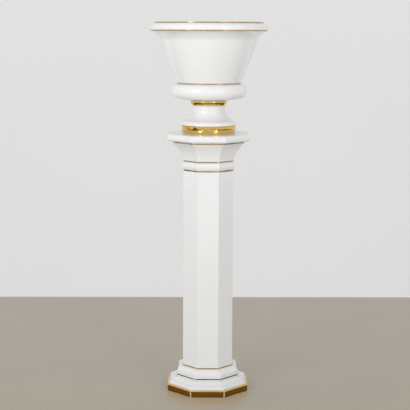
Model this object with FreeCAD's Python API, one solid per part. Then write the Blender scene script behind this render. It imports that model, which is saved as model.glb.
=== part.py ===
import FreeCAD, Part
import math
import os

# A glazed earthenware jardiniere: a footed urn that stands loose on a tall octagonal pedestal.
# Each is built up from thin hollow castings that meet at moulded joints, and each moulding is
# picked out with fired gold lustre, which is let in flush with the glaze.
# The origin is the middle of the pedestal's foot, on the floor. +Z is up, and -Y is the front.
# Sizes are in millimetres.

# Pedestal: widths are across the flats of the octagon, projections are from one member to the next.
SHAFT_FOOT_FLATS = 160.0
SHAFT_HEAD_FLATS = 157.5
SHAFT_LENGTH = 633.5
PEDESTAL_WALL = 10.0

BAND_HEIGHT = 22.0          # gilt foot of the plinth
LEDGE_WIDTH = 7.0           # gilt ledge on top of it
STEP_HEIGHT = 4.0           # small upright step that stands on the ledge
STEP_ROUND = 6.5            # rounds the step in to the splay
SPLAY_WIDTH = 18.5
SPLAY_RISE = 12.0
SPLAY_HOLLOW = 1.0          # depth of the splay's hollow curve behind its chord
RISER_HEIGHT = 17.0         # upright face above the splay
RISER_LINE_RISE = 5.0       # from the riser's foot up to its gilt line
QUARTER_ROUND = 18.0        # rounds the riser in to the shaft

ASTRAGAL_HEIGHT = 25.0
ASTRAGAL_BULGE = 4.5
CAVETTO_HEIGHT = 56.5
CAVETTO_FLARE = 33.25
CAVETTO_HOLLOW = 5.0        # depth of the hollow curve behind its chord
SLAB_FILLET_HEIGHT = 5.0    # gilt upright under the slab
SLAB_OVERHANG = 18.0
SLAB_THICKNESS = 22.5
SLAB_ROUND = 8.0            # rounds the slab's edge, above and below

# Urn: radii are from its upright axis.
URN_WALL = 9.0
FOOT_RADIUS = 86.5
FOOT_BAND_HEIGHT = 27.0
FOOT_TUCK = 3.2             # how far the gilt band draws in, down to the slab
SHOULDER_RADIUS = 14.0      # rounds the foot in over its gilt band
NECK_COVE_RADIUS = 36.0     # sweeps from the shoulder up into the neck
NECK_RADIUS = 52.0
NECK_LENGTH = 13.5          # straight length under the collar
COLLAR_HEIGHT = 14.0
COLLAR_FLARE = 5.5
COLLAR_BULGE = 2.6

BULGE_RADIUS = 121.0        # face of the round moulding under the bowl
BULGE_RISE = 28.5           # from the collar up to that face
BULGE_FACE = 3.9            # its upright part, between the two rounds
BULGE_UNDER_ROUND = 21.0
BULGE_OVER_ROUND = 21.1
BOWL_WALL_HEIGHT = 137.0
BOWL_WALL_LEAN = 53.1       # how far the wall leans out over its height
BOWL_WALL_BOW = 3.6
FLARE_HEIGHT = 23.0
FLARE_REACH = 31.5
FLARE_HOLLOW = 4.0
ROLL_HEIGHT = 21.0
ROLL_SETBACK = 13.0         # how far the lip stands inside the rim's lower edge
ROLL_BULGE = 6.0
LIP_WIDTH = 8.0
LIP_ROUND = 3.0

# Gilding
GILT_THICKNESS = 0.8
GILT_LINE = 3.5             # height of each narrow line
NECKING_LINE = 4.0          # height of the two lines that edge the astragal
GILT_LIFT = 1.0             # bare edge below the two wide gilt bands

# Levels of the pedestal, from the floor up
band_top = BAND_HEIGHT
step_top = band_top + STEP_HEIGHT
splay_bottom = step_top + STEP_ROUND
splay_top = splay_bottom + SPLAY_RISE
riser_line_bottom = splay_top + RISER_LINE_RISE
riser_top = splay_top + RISER_HEIGHT
plinth_top = riser_top + QUARTER_ROUND
shaft_top = plinth_top + SHAFT_LENGTH
astragal_bottom = shaft_top + NECKING_LINE
astragal_top = astragal_bottom + ASTRAGAL_HEIGHT
cavetto_bottom = astragal_top + NECKING_LINE
cavetto_top = cavetto_bottom + CAVETTO_HEIGHT
slab_bottom = cavetto_top + SLAB_FILLET_HEIGHT
slab_top = slab_bottom + SLAB_THICKNESS

# Half widths of the pedestal, from the shaft out
shaft_foot = SHAFT_FOOT_FLATS / 2
shaft_head = SHAFT_HEAD_FLATS / 2
riser = shaft_foot + QUARTER_ROUND
splay = riser + SPLAY_WIDTH
step = splay + STEP_ROUND
base = step + LEDGE_WIDTH
slab_fillet = shaft_head + CAVETTO_FLARE
slab = slab_fillet + SLAB_OVERHANG

# Levels of the urn, from the slab that it stands on
foot_band_top = slab_top + FOOT_BAND_HEIGHT
foot_face_round = (FOOT_BAND_HEIGHT ** 2 + FOOT_TUCK ** 2) / (2 * FOOT_TUCK)
foot_face_centre = (FOOT_RADIUS - foot_face_round, foot_band_top)
shoulder_centre = (FOOT_RADIUS - SHOULDER_RADIUS, foot_band_top)
cove_run = NECK_RADIUS + NECK_COVE_RADIUS - shoulder_centre[0]
cove_rise = math.sqrt((SHOULDER_RADIUS + NECK_COVE_RADIUS) ** 2 - cove_run ** 2)
cove_centre = (NECK_RADIUS + NECK_COVE_RADIUS, foot_band_top + cove_rise)
collar_bottom = cove_centre[1] + NECK_LENGTH
collar_top = collar_bottom + COLLAR_HEIGHT
bulge_face_bottom = collar_top + BULGE_RISE
bulge_face_top = bulge_face_bottom + BULGE_FACE
waist_line_bottom = bulge_face_top + BULGE_OVER_ROUND
waist_line_top = waist_line_bottom + GILT_LINE
wall_top = waist_line_top + BOWL_WALL_HEIGHT
rim_line_bottom = wall_top + FLARE_HEIGHT
rim_line_top = rim_line_bottom + GILT_LINE
lip_line_bottom = rim_line_top + ROLL_HEIGHT
lip_top = lip_line_bottom + GILT_LINE

# Radii of the urn
collar = NECK_RADIUS + COLLAR_FLARE
waist = BULGE_RADIUS - BULGE_OVER_ROUND
wall_head = waist + BOWL_WALL_LEAN
rim = wall_head + FLARE_REACH
lip = rim - ROLL_SETBACK
mouth = lip - LIP_WIDTH

# Clearance by which a cutting tool passes the surface that it cuts
OVERCUT = 5.0


class Outline:
    """A line of straight and round edges in the upright plane, drawn from one point to the next."""

    def __init__(self, r, z):
        self.start = self.end = (r, z)
        self.edges = []

    def add(self, edge, r, z):
        self.edges.append(edge)
        self.end = (r, z)
        return self

    def line(self, r, z):
        return self.add(Part.makeLine(upright(*self.end), upright(r, z)), r, z)

    def bow(self, r, z, rise):
        """A shallow arc that stands out from its chord by rise, to the right of the way there."""
        r0, z0 = self.end
        chord = math.hypot(r - r0, z - z0)
        middle_r = (r0 + r) / 2 + rise * (z - z0) / chord
        middle_z = (z0 + z) / 2 - rise * (r - r0) / chord
        arc = Part.Arc(upright(r0, z0), upright(middle_r, middle_z), upright(r, z))
        return self.add(arc.toShape(), r, z)

    def turn(self, r, z, centre):
        """An arc of less than a half turn about a centre."""
        hub = upright(*centre)
        first = upright(*self.end) - hub
        last = upright(r, z) - hub
        middle = (first + last).normalize() * first.Length
        arc = Part.Arc(hub + first, hub + middle, hub + last)
        return self.add(arc.toShape(), r, z)


def upright(r, z):
    return FreeCAD.Vector(r, 0, z)


def octagonal(outline):
    """A solid whose section at every height is a regular octagon of the outline's half width.

    The outline, closed by its mirror image, makes a slab that reaches far to the front and back.
    What four such slabs, an eighth of a turn apart, have in common is the octagon, with every
    corner mitred.
    """
    reach = 2 * max(vertex.X for edge in outline.edges for vertex in edge.Vertexes)
    mirrored = [edge.mirror(FreeCAD.Vector(), FreeCAD.Vector(1, 0, 0)) for edge in outline.edges]
    foot = Part.makeLine(upright(-outline.start[0], outline.start[1]), upright(*outline.start))
    head = Part.makeLine(upright(*outline.end), upright(-outline.end[0], outline.end[1]))
    face = Part.Face(Part.Wire([foot] + outline.edges + [head] + mirrored[::-1]))
    face.translate(FreeCAD.Vector(0, -reach, 0))
    slab_shape = face.extrude(FreeCAD.Vector(0, 2 * reach, 0))
    solid = slab_shape.copy()
    for eighth in range(1, 4):
        turned = slab_shape.copy()
        turned.rotate(FreeCAD.Vector(), FreeCAD.Vector(0, 0, 1), 45 * eighth)
        solid = solid.common(turned)
    return solid


def revolved(outline):
    """A round solid from an outline, which is closed to its start and may lie on the axis."""
    edges = list(outline.edges)
    if math.dist(outline.start, outline.end) > 1e-6:
        edges.append(Part.makeLine(upright(*outline.end), upright(*outline.start)))
    face = Part.Face(Part.Wire(edges))
    return face.revolve(FreeCAD.Vector(), FreeCAD.Vector(0, 0, 1), 360)


def octagonal_sheath(half, bottom, top):
    """The outermost gilt thickness of an upright octagonal face, reaching out past it."""
    outer = octagonal(Outline(half + OVERCUT, bottom).line(half + OVERCUT, top))
    inner_half = half - GILT_THICKNESS
    return outer.cut(octagonal(Outline(inner_half, bottom).line(inner_half, top)))


def round_sheath(radius, bottom, top):
    """The outermost gilt thickness of an upright round face, reaching out past it."""
    depth = radius - GILT_THICKNESS
    reach = radius + OVERCUT
    return revolved(Outline(depth, bottom).line(reach, bottom).line(reach, top).line(depth, top))


def gild(casting, **sheaths):
    """Lets each gilt sheath into a casting. Returns the cut casting and the gilt pieces by name."""
    gilding = {name: casting.common(sheath) for name, sheath in sheaths.items()}
    for sheath in sheaths.values():
        casting = casting.cut(sheath)
    return casting, gilding


def tangent_from(start, centre, radius):
    """The point where a line from start touches the underside of a circle."""
    run = centre[0] - start[0]
    rise = centre[1] - start[1]
    length = math.sqrt(run ** 2 + rise ** 2 - radius ** 2)
    angle = math.atan2(rise, run) - math.atan2(radius, length)
    return start[0] + length * math.cos(angle), start[1] + length * math.sin(angle)


def plinth():
    """The pedestal's spreading foot: band, ledge, round step, splay, riser and quarter round."""
    outside = Outline(base, 0).line(base, band_top).line(step, band_top).line(step, step_top)
    outside.turn(splay, splay_bottom, (splay, step_top)).bow(riser, splay_top, -SPLAY_HOLLOW)
    outside.line(riser, riser_top).turn(shaft_foot, plinth_top, (shaft_foot, riser_top))

    bore = shaft_foot - PEDESTAL_WALL
    inside = Outline(base - PEDESTAL_WALL, 0).line(base - PEDESTAL_WALL, band_top - PEDESTAL_WALL)
    inside.line(riser - PEDESTAL_WALL, splay_top - PEDESTAL_WALL)
    inside.line(riser - PEDESTAL_WALL, riser_top).line(bore, plinth_top - PEDESTAL_WALL)
    inside.line(bore, plinth_top)

    band_outside = octagonal(Outline(base + OVERCUT, GILT_LIFT).line(base + OVERCUT, band_top))
    band_inside = Outline(base - GILT_THICKNESS, GILT_LIFT)
    band_inside.line(base - GILT_THICKNESS, band_top - GILT_THICKNESS)
    band_inside.line(step, band_top - GILT_THICKNESS).line(step, band_top)
    return gild(
        octagonal(outside).cut(octagonal(inside)),
        plinth_gilt_band=band_outside.cut(octagonal(band_inside)),
        plinth_gilt_line=octagonal_sheath(riser, riser_line_bottom, riser_line_bottom + GILT_LINE),
    )


def shaft():
    """The tall tapered octagonal tube, open at both ends."""
    outside = Outline(shaft_foot, plinth_top).line(shaft_head, shaft_top)
    inside = Outline(shaft_foot - PEDESTAL_WALL, plinth_top)
    inside.line(shaft_head - PEDESTAL_WALL, shaft_top)
    return gild(
        octagonal(outside).cut(octagonal(inside)),
        shaft_gilt_line=octagonal_sheath(shaft_foot, plinth_top, plinth_top + GILT_LINE),
    )


def capital():
    """The pedestal's head: astragal between two lines, cavetto, and a slab with rounded edges."""
    slab_flat = slab - SLAB_ROUND
    face_bottom, face_top = slab_bottom + SLAB_ROUND, slab_top - SLAB_ROUND
    outside = Outline(shaft_head, shaft_top).line(shaft_head, astragal_bottom)
    outside.bow(shaft_head, astragal_top, ASTRAGAL_BULGE).line(shaft_head, cavetto_bottom)
    outside.bow(slab_fillet, cavetto_top, -CAVETTO_HOLLOW).line(slab_fillet, slab_bottom)
    outside.line(slab_flat, slab_bottom).turn(slab, face_bottom, (slab_flat, face_bottom))
    outside.line(slab, face_top).turn(slab_flat, slab_top, (slab_flat, face_top))

    bore = shaft_head - PEDESTAL_WALL
    throat = slab_fillet - PEDESTAL_WALL
    inside = Outline(bore, shaft_top).line(bore, cavetto_bottom)
    inside.bow(throat, cavetto_top, -CAVETTO_HOLLOW).line(throat, slab_top - PEDESTAL_WALL)
    return gild(
        octagonal(outside).cut(octagonal(inside)),
        astragal_lower_gilt_line=octagonal_sheath(shaft_head, shaft_top, astragal_bottom),
        astragal_upper_gilt_line=octagonal_sheath(shaft_head, astragal_top, cavetto_bottom),
        capital_gilt_line=octagonal_sheath(slab_fillet, cavetto_top, slab_bottom),
    )


def foot_face(inset, bottom):
    """The foot's drawn-in face, from a height up to its upright top edge, moved in by inset."""
    run = math.sqrt((foot_face_round - inset) ** 2 - (foot_band_top - bottom) ** 2)
    outline = Outline(foot_face_centre[0] + run, bottom)
    return outline.turn(FOOT_RADIUS - inset, foot_band_top, foot_face_centre)


def foot_outline(inset):
    """Face, shoulder, cove and neck of the urn's foot, moved in from the outside by inset."""
    shoulder = SHOULDER_RADIUS - inset
    share = shoulder / (SHOULDER_RADIUS + NECK_COVE_RADIUS)
    meeting = (shoulder_centre[0] + share * cove_run, shoulder_centre[1] + share * cove_rise)
    outline = foot_face(inset, slab_top).turn(*meeting, shoulder_centre)
    return outline.turn(NECK_RADIUS - inset, cove_centre[1], cove_centre)


def urn_foot():
    """The urn's hollow foot, open above and below, which ends in a flared gilt collar."""
    outside = foot_outline(0).line(NECK_RADIUS, collar_bottom)
    outside.bow(collar, collar_top, COLLAR_BULGE).line(0, collar_top).line(0, slab_top)
    inside = foot_outline(URN_WALL).line(NECK_RADIUS - URN_WALL, collar_top)
    inside.line(0, collar_top).line(0, slab_top)

    band_sheath = foot_face(GILT_THICKNESS, slab_top + GILT_LIFT)
    band_sheath.line(FOOT_RADIUS + OVERCUT, foot_band_top)
    band_sheath.line(FOOT_RADIUS + OVERCUT, slab_top + GILT_LIFT)
    collar_sheath = Outline(NECK_RADIUS - GILT_THICKNESS, collar_bottom)
    collar_sheath.bow(collar - GILT_THICKNESS, collar_top, COLLAR_BULGE)
    collar_sheath.line(collar + OVERCUT, collar_top).line(collar + OVERCUT, collar_bottom)
    return gild(
        revolved(outside).cut(revolved(inside)),
        foot_gilt_band=revolved(band_sheath),
        collar_gilt_band=revolved(collar_sheath),
    )


def bowl_base(start, inset):
    """The bowl's underside and round bulge, moved in from the outside by inset."""
    under_round = BULGE_UNDER_ROUND - inset
    under_centre = (BULGE_RADIUS - BULGE_UNDER_ROUND, bulge_face_bottom)
    over_centre = (waist, bulge_face_top)
    outline = Outline(*start).line(collar, start[1])
    outline.line(*tangent_from(outline.end, under_centre, under_round))
    outline.turn(BULGE_RADIUS - inset, bulge_face_bottom, under_centre)
    outline.line(BULGE_RADIUS - inset, bulge_face_top)
    return outline.turn(waist, waist_line_bottom - inset, over_centre)


def urn_bowl():
    """The bell-shaped bowl: bulge, waist, leaning wall, flare and rolled rim, all one casting."""
    outside = bowl_base((0, collar_top), 0).line(waist, waist_line_top)
    outside.bow(wall_head, wall_top, BOWL_WALL_BOW).bow(rim, rim_line_bottom, -FLARE_HOLLOW)
    outside.line(rim, rim_line_top).bow(lip, lip_line_bottom, ROLL_BULGE).line(lip, lip_top)
    outside.line(0, lip_top)

    inside = bowl_base((0, collar_top + URN_WALL), URN_WALL)
    inside.line(waist - URN_WALL, waist_line_bottom - URN_WALL).line(waist - URN_WALL, waist_line_top)
    inside.bow(wall_head - URN_WALL, wall_top, BOWL_WALL_BOW).bow(mouth, rim_line_top, -FLARE_HOLLOW)
    inside.line(mouth, lip_top - LIP_ROUND)
    inside.turn(mouth + LIP_ROUND, lip_top, (mouth + LIP_ROUND, lip_top - LIP_ROUND))
    inside.line(0, lip_top)
    return gild(
        revolved(outside).cut(revolved(inside)),
        waist_gilt_line=round_sheath(waist, waist_line_bottom, waist_line_top),
        rim_gilt_line=round_sheath(rim, rim_line_bottom, rim_line_top),
        lip_gilt_line=round_sheath(lip, lip_line_bottom, lip_top),
    )


castings = {
    "pedestal_plinth": plinth,
    "pedestal_shaft": shaft,
    "pedestal_capital": capital,
    "urn_foot": urn_foot,
    "urn_bowl": urn_bowl,
}

os.makedirs("parts", exist_ok=True)
for casting_name, make in castings.items():
    casting_shape, gilt_pieces = make()
    for node, shape in {casting_name: casting_shape, **gilt_pieces}.items():
        shape.exportStep(f"parts/{node}.step")
        print(node, len(shape.Solids), shape.isValid(), round(shape.Volume), shape.BoundBox)
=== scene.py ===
"""A glazed earthenware jardiniere: a footed urn that stands loose on a tall octagonal pedestal.

Every casting is one closed outline in the upright plane. The pedestal's outlines are mitred round
eight rounded corners and the urn's are turned about the axis, each by a tree of geometry nodes.
The gilding is a film that follows a stretch of a casting's outline, so it goes through the same
trees. Levels and widths come from the boxes of the measured frame. Sizes are in metres, and -Y is
the front.
"""

import math
from collections import namedtuple

import bpy
from bpy.props import FloatProperty, FloatVectorProperty, IntProperty, PointerProperty
from bpy.types import NodeSocket, Operator, Panel, PropertyGroup
from mathutils import Euler, Matrix, Vector


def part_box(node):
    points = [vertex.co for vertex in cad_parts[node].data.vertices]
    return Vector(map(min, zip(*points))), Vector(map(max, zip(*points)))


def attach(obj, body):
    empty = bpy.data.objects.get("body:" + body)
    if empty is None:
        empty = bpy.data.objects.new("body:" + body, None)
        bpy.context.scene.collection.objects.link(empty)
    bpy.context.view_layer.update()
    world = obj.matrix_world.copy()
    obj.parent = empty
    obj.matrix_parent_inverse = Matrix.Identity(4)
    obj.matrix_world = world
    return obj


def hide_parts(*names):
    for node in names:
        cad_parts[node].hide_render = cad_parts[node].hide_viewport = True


bl_info = {
    "name": "Jardiniere on Stand",
    "version": (1, 0, 0),
    "blender": (4, 5, 0),
    "location": "3D View > Sidebar > Jardiniere",
    "description": "Dresses a measured frame as a glazed and gilded urn on its octagonal pedestal",
    "category": "Object",
}

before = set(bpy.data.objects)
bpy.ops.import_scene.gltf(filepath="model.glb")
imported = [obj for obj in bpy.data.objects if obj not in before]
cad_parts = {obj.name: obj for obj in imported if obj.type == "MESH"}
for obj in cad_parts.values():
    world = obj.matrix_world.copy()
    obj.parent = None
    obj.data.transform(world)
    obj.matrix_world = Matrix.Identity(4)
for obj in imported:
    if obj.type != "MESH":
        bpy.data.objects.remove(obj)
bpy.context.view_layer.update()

SIDES = 8

# How finely an outline is drawn
FINE = 0.0025               # longest straight stretch in a curve of an outline
FINE_TURN = 0.16            # largest turn between two such stretches, in radians
LONGEST = 0.008             # longest part that a straight run is divided into
LONGEST_ON_SHAFT = 0.014    # the same on the tall shaft
NEAR_CORNER = (0.0007, 0.002, 0.0045, 0.008)    # extra points this far from a softened corner
NEAR_SHARE = 0.4            # share of a straight run that the extra points may reach over
MOST_CUT = 0.45             # share of a stretch that softening may take off it
SOFTENED = (0.2, 0.4, 0.6, 0.8)     # places of the points round a softened corner
CLOSED = 1e-7               # ends nearer than this close an outline
SAME_PLACE = 5e-6           # stations nearer than this are one
WELD = 2e-6                 # points of a mesh nearer than this are one
UNDER_LIP_GOLD = 0.0002     # how far the lip's glaze ends under the top of its gilt line
UNDER_COLLAR_TOP = 0.0004   # how far the collar's gold ends under its top edge
CREASE_SPREAD = 0.003       # how far the look of a crease or edge spreads from it

# A gilt film's extra stations, from its brink inwards: the brink itself, where its underside
# starts, where it has its full height, and where it no longer strays
BRINK = (0.0, 0.0002, 0.0005, 0.001)

# How many waves to a metre the hand-finished surface and the painted brinks have
LONG_WAVES, SHORT_WAVES, BRINK_WAVES = 9.0, 48.0, 31.0
SEED = 3.0

# Finishes that no setting changes
DUST_ON_GLAZE = (0.60, 0.55, 0.48, 1.0)
DUST_ON_GOLD = (0.50, 0.45, 0.37, 1.0)
CLAY_GRIT = (0.42, 0.36, 0.29, 1.0)
COAT_ROUGHNESS = 0.06
GLAZE_IOR = 1.52
CLAY_ROUGHNESS = 0.85

# The studio's softboxes, floor and wall
LAMP_SIZE = (0.85, 0.65)
LAMP_TINT = (1.0, 0.99, 0.98)
LAMP_AIM = Vector((0.0, 0.0, 0.85))
LEFT_LAMP_PLACE = Vector((-1.94, -2.67, 1.75))
RIGHT_LAMP_PLACE = Vector((1.80, -2.77, 1.75))
FLOOR_HALF = 5.0            # half the floor's width, and how far it goes back
FLOOR_FRONT = 2.4           # how far it comes forward
WALL_TOP = 4.0

# The photograph's width and the camera's focal length in pixels, and the sensor's width in mm
PHOTO_WIDTH, FOCUS, SENSOR = 410.0, 1154.0, 36.0


# ---------------------------------------------------------------------------------------------
# Sizes, finishes and studio


def length(name, description, default):
    return FloatProperty(
        name=name, description=description, default=default, min=0.0, unit="LENGTH", precision=5
    )


def share(name, description, default):
    return FloatProperty(
        name=name, description=description, default=default, min=0.0, max=1.0, subtype="FACTOR"
    )


def colour(name, description, default):
    return FloatVectorProperty(
        name=name, description=description, default=default, min=0.0, max=1.0, subtype="COLOR"
    )


def tilt(name, description, default):
    return FloatProperty(name=name, description=description, default=default, subtype="ANGLE")


def amount(name, description, default):
    return FloatProperty(name=name, description=description, default=default, min=0.0)


def power(name, description, default):
    return FloatProperty(
        name=name, description=description, default=default, min=0.0, unit="POWER"
    )


def number(name, description, default, least, most):
    return IntProperty(
        name=name, description=description, default=default, min=least, max=most
    )


class JardinierePedestalSizes(PropertyGroup):
    """Sizes of the pedestal's mouldings that the frame's boxes don't give."""

    wall: length("Wall", "Thickness of the hollow castings", 0.010)
    ledge: length("Ledge", "Width of the gilt ledge on the plinth", 0.007)
    step_height: length("Step height", "Upright step that stands on the ledge", 0.004)
    step_round: length("Step round", "Rounds the step in to the splay", 0.0065)
    splay_rise: length("Splay rise", "Height of the splay from the step to the riser", 0.012)
    splay_hollow: length("Splay hollow", "Depth of the splay's hollow behind its chord", 0.001)
    astragal_bulge: length("Astragal bulge", "How far the astragal stands out", 0.0045)
    cavetto_hollow: length("Cavetto hollow", "Depth of the hollow curve behind its chord", 0.005)
    slab_round: length("Slab round", "Rounds the slab's edge, above and below", 0.008)
    plinth_corner: length("Plinth corner", "Rounding of the plinth's upright corners", 0.0045)
    shaft_corner: length("Shaft corner", "Rounding of the shaft's upright corners", 0.0032)
    capital_corner: length("Capital corner", "Rounding of the capital's upright corners", 0.0045)
    corner_steps: number("Corner steps", "Faces round each upright corner", 6, 2, 16)
    flat_steps: number("Flat steps", "Faces across each flat", 9, 4, 32)


class JardiniereUrnSizes(PropertyGroup):
    """Sizes of the urn's mouldings that the frame's boxes don't give."""

    wall: length("Wall", "Thickness of the hollow castings", 0.009)
    foot_tuck: length("Foot tuck", "How far the gilt band draws in, down to the slab", 0.0032)
    shoulder_radius: length("Shoulder radius", "Rounds the foot in over its gilt band", 0.014)
    cove_radius: length("Cove radius", "Sweeps from the shoulder up into the neck", 0.036)
    neck_radius: length("Neck radius", "Narrowest part of the foot", 0.052)
    collar_flare: length("Collar flare", "How far the gilt collar spreads over the neck", 0.0055)
    collar_bulge: length("Collar bulge", "How round the gilt collar is", 0.0026)
    bulge_radius: length("Bulge radius", "Face of the round moulding", 0.121)
    bulge_face: length("Bulge face", "Upright part between the moulding's two rounds", 0.0039)
    bulge_under: length("Bulge under", "Radius of the moulding's underside", 0.021)
    bulge_over: length("Bulge over", "Radius of the moulding's upper side", 0.0211)
    wall_height: length("Wall height", "Height of the bowl's leaning wall", 0.137)
    wall_lean: length("Wall lean", "How far the wall leans out over its height", 0.0531)
    wall_bow: length("Wall bow", "How far the wall bows out", 0.0036)
    flare_hollow: length("Flare hollow", "Depth of the curve under the rim", 0.004)
    roll_bulge: length("Roll bulge", "How far the rim's roll stands out", 0.006)
    lip_width: length("Lip width", "Flat top of the rim", 0.008)
    lip_round: length("Lip round", "Rounds the lip into the bowl", 0.003)
    around: number("Around", "Faces round the urn", 176, 24, 400)


class JardiniereGlaze(PropertyGroup):
    """The white glaze and the bare clay where it stops."""

    white: colour("White", "Colour of the glaze", (0.845, 0.845, 0.84))
    pooled: colour("Pooled", "Colour where the glaze runs thick in a crease", (0.70, 0.70, 0.675))
    thin: colour("Thin", "Colour where the glaze breaks thin over an edge", (0.84, 0.80, 0.735))
    clay: colour("Clay", "Colour of the bare clay", (0.66, 0.60, 0.52))
    speck: colour("Speck", "Colour of the few kiln specks", (0.30, 0.22, 0.14))
    roughness: share("Roughness", "Roughness under the clear surface", 0.34)
    gloss: share("Gloss", "Weight of the clear surface", 0.7)
    unevenness: length("Unevenness", "How far the hand-finished casting wavers inward", 0.0005)
    ripple: length("Ripple", "Depth of the shorter ripples in the fired surface", 0.00022)


class JardiniereGilding(PropertyGroup):
    """The fired gold lustre."""

    gold: colour("Gold", "Colour of the lustre", (0.85, 0.62, 0.21))
    thin: colour("Thin", "Colour of the lustre where it is thin at an edge", (0.34, 0.26, 0.16))
    deep: colour("Deep", "Colour of the lustre where the brush left it thick", (0.74, 0.47, 0.12))
    # The worn colour is partly real rubbed-off lustre and partly a painted highlight: the cream
    # glints on the rounded upright corners.
    worn_and_glint: colour("Worn", "Colour where the lustre is rubbed off an edge", (0.80, 0.68, 0.48))
    roughness: share("Roughness", "Roughness of the lustre", 0.03)
    lift: length("Lift", "How far the film stands out of the glaze", 0.00004)
    sink: length("Sink", "How far the film reaches in under the glaze's surface", 0.0004)
    edge_waver: length("Edge waver", "How far a hand-drawn edge strays", 0.00045)
    band_fade: length("Band fade", "How far the thin brink of a wide band reaches", 0.001)
    line_fade: length("Line fade", "How far the thin brink of a narrow line reaches", 0.0022)


class JardiniereStudio(PropertyGroup):
    """The plain pale studio."""

    wall: colour("Wall", "Colour of the wall behind", (0.76, 0.76, 0.755))
    floor: colour("Floor", "Colour of the floor", (0.41, 0.35, 0.27))
    bounce: colour("Bounce", "Colour that the floor throws on to matt surfaces", (0.74, 0.73, 0.70))
    # The mirrored colour is painted shade: glossy rays see the floor in this dark brown, as if the
    # floor in front of the object lay in shadow.
    mirrored_shade: colour("Mirrored", "Colour of the floor as a mirror shows it", (0.20, 0.125, 0.045))
    backdrop: colour("Backdrop", "Paleness past the wall and floor, as the camera sees it",
                     (0.76, 0.76, 0.755))
    ceiling: colour("Ceiling", "Pale upper half of the room", (0.595, 0.595, 0.60))
    room: colour("Room", "Dim lower half of the room", (0.030, 0.026, 0.021))
    front_light: amount("Front light", "How much brighter the room's upper half is in front", 0.75)
    fill: amount("Fill", "Level light that reaches only the matt share of a surface", 2.2)
    lean: share("Lean", "How much more of the room's light comes from the left", 0.21)
    wall_glow: share("Wall glow", "Share of the wall's paleness that is even", 0.75)
    wall_distance: length("Wall distance", "From the object's middle back to the wall", 1.27)
    wall_turn: tilt("Wall turn", "How far the wall turns away at the right", math.atan(0.0145))
    camera_distance: length("Camera distance", "From the object's middle to the camera", 3.649)
    camera_height: length("Camera height", "Height of the lens over the floor", 1.1518)
    camera_pitch: tilt("Camera pitch", "How far the camera looks down", math.radians(8.62))
    camera_turn: tilt("Camera turn", "How far the camera looks to the left of the middle",
                      math.atan(3.3 / FOCUS))
    camera_roll: tilt("Camera roll", "How far the camera leans over", math.radians(0.25))
    lens: FloatProperty(
        name="Lens", description="Focal length on a sensor 36 mm wide",
        default=SENSOR * FOCUS / PHOTO_WIDTH, min=10.0, unit="CAMERA",
    )
    left_lamp: power("Left lamp", "Power of the left softbox", 18.0)
    right_lamp: power("Right lamp", "Power of the right softbox", 12.0)


# ---------------------------------------------------------------------------------------------
# Outlines

# r and z place a station in the upright plane. crease is above 0 by a convex edge and below 0 by a
# crease, corner rounds its upright corners, bare is 1 without glaze, edge is 1 at the brink of a
# gilt film, and slide_r and slide_z are the way in which that brink may stray.
Station = namedtuple("Station", "r z crease corner bare edge slide_r slide_z")
Run = namedtuple("Run", "points soft corner bare")


def swept(start, end, centre):
    """Points of the arc of less than half a turn from start to end about a centre."""
    first, last = start - centre, end - centre
    turn = math.atan2(first.x * last.y - first.y * last.x, first.dot(last))
    steps = max(3, math.ceil(abs(turn) * first.length / FINE), math.ceil(abs(turn) / FINE_TURN))
    angle = math.atan2(first.y, first.x)
    inner = [
        centre + first.length * Vector((math.cos(angle + turn * i / steps),
                                        math.sin(angle + turn * i / steps)))
        for i in range(1, steps)
    ]
    return [start, *inner, end]


def cut(points, distance):
    """The points with a distance taken off the start."""
    points = list(points)
    while len(points) > 2 and (points[1] - points[0]).length <= distance:
        distance -= (points[1] - points[0]).length
        points.pop(0)
    whole = (points[1] - points[0]).length
    points[0] = points[0].lerp(points[1], min(distance / whole, MOST_CUT))
    return points


def divided(start, end, longest):
    """Points after start, up to end: close together by both, and no further apart than longest."""
    whole = (end - start).length
    near = [d for d in NEAR_CORNER if d < NEAR_SHARE * whole]
    first = near[-1] if near else 0.0
    steps = max(1, math.ceil((whole - 2 * first) / longest))
    middle = [first + (whole - 2 * first) * i / steps for i in range(1, steps)]
    places = near + middle + [whole - d for d in reversed(near)] + [whole]
    return [start.lerp(end, d / whole) for d in places]


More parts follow.
